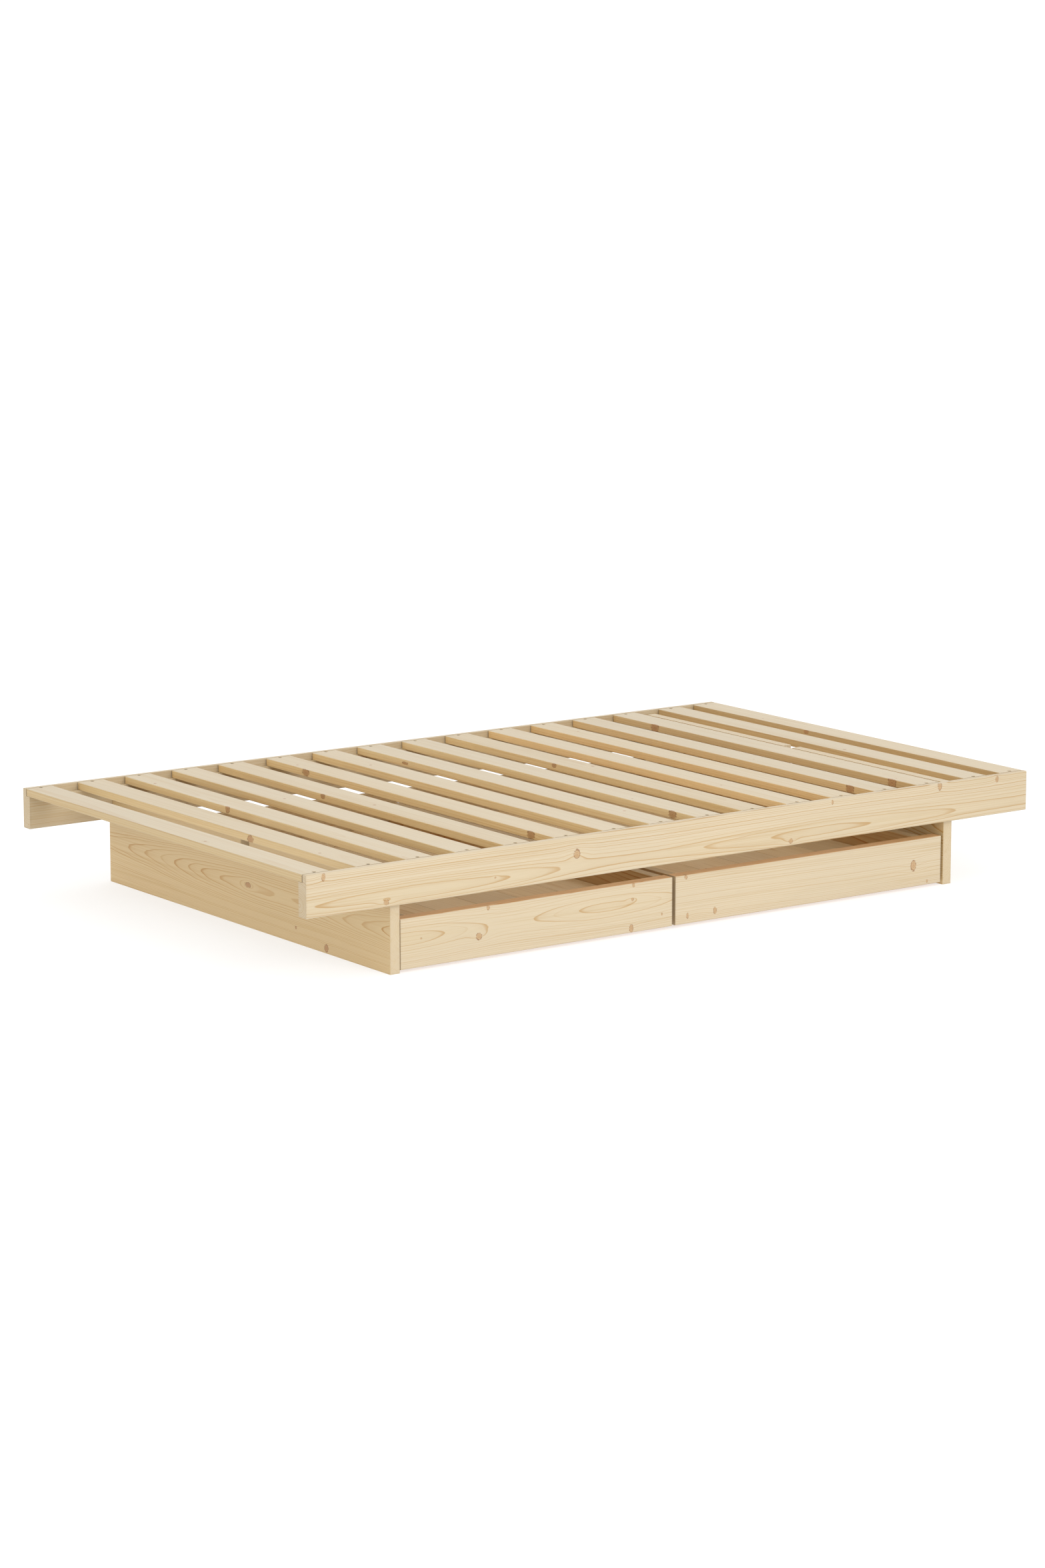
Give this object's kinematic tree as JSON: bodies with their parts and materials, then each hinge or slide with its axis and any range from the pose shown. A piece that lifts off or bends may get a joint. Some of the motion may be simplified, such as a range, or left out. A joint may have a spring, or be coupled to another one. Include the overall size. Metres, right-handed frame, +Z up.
{
  "type": "bed frame with drawers",
  "caption": "Low slatted bed frame in clear pine with two wide underbed drawers that slide out of one long side.",
  "frame": {"origin": "on the floor, under the centre of the bed", "axes": "+X along the bed towards the right-hand end as seen from the drawer side, +Y from the drawer side to the back, +Z up"},
  "size_m": [2.06, 1.222, 0.25],
  "materials": {
    "frame_pine": "clear satin lacquer on planed pine",
    "slat_pine": "planed pine, thin clear lacquer",
    "drawer_pine": "clear satin lacquer on planed pine",
    "screw_steel": "dulled zinc",
    "bracket_steel": "bright zinc",
    "glide_plastic": "matte black nylon"
  },
  "bodies": {
    "frame": {"bracket_screws": "screw_steel", "corner_brackets": "bracket_steel", "leg_left": "frame_pine", "leg_right": "frame_pine", "rail_back": "frame_pine", "rail_front": "frame_pine", "slat_01": "slat_pine", "slat_02": "slat_pine", "slat_03": "slat_pine", "slat_04": "slat_pine", "slat_05": "slat_pine", "slat_06": "slat_pine", "slat_07": "slat_pine", "slat_08": "slat_pine", "slat_09": "slat_pine", "slat_10": "slat_pine", "slat_11": "slat_pine", "slat_12": "slat_pine", "slat_13": "slat_pine", "slat_14": "slat_pine", "slat_15": "slat_pine", "slat_16": "slat_pine", "slat_screws_back": "screw_steel", "slat_screws_front": "screw_steel"},
    "left_drawer": {"left_drawer_back": "drawer_pine", "left_drawer_batten_1": "drawer_pine", "left_drawer_batten_2": "drawer_pine", "left_drawer_batten_3": "drawer_pine", "left_drawer_front": "drawer_pine", "left_drawer_glides": "glide_plastic", "left_drawer_plank_1": "drawer_pine", "left_drawer_plank_2": "drawer_pine", "left_drawer_plank_3": "drawer_pine", "left_drawer_plank_4": "drawer_pine", "left_drawer_plank_5": "drawer_pine", "left_drawer_plank_6": "drawer_pine", "left_drawer_screws": "screw_steel", "left_drawer_side_left": "drawer_pine", "left_drawer_side_right": "drawer_pine"},
    "right_drawer": {"right_drawer_back": "drawer_pine", "right_drawer_batten_1": "drawer_pine", "right_drawer_batten_2": "drawer_pine", "right_drawer_batten_3": "drawer_pine", "right_drawer_front": "drawer_pine", "right_drawer_glides": "glide_plastic", "right_drawer_plank_1": "drawer_pine", "right_drawer_plank_2": "drawer_pine", "right_drawer_plank_3": "drawer_pine", "right_drawer_plank_4": "drawer_pine", "right_drawer_plank_5": "drawer_pine", "right_drawer_plank_6": "drawer_pine", "right_drawer_screws": "screw_steel", "right_drawer_side_left": "drawer_pine", "right_drawer_side_right": "drawer_pine"}
  },
  "joints": [
    {"name": "left_drawer_slide", "type": "slide", "parent": "frame", "child": "left_drawer", "axis": [0, -1, 0], "range_m": [0, 0.85]},
    {"name": "right_drawer_slide", "type": "slide", "parent": "frame", "child": "right_drawer", "axis": [0, -1, 0], "range_m": [0, 0.85]}
  ]
}
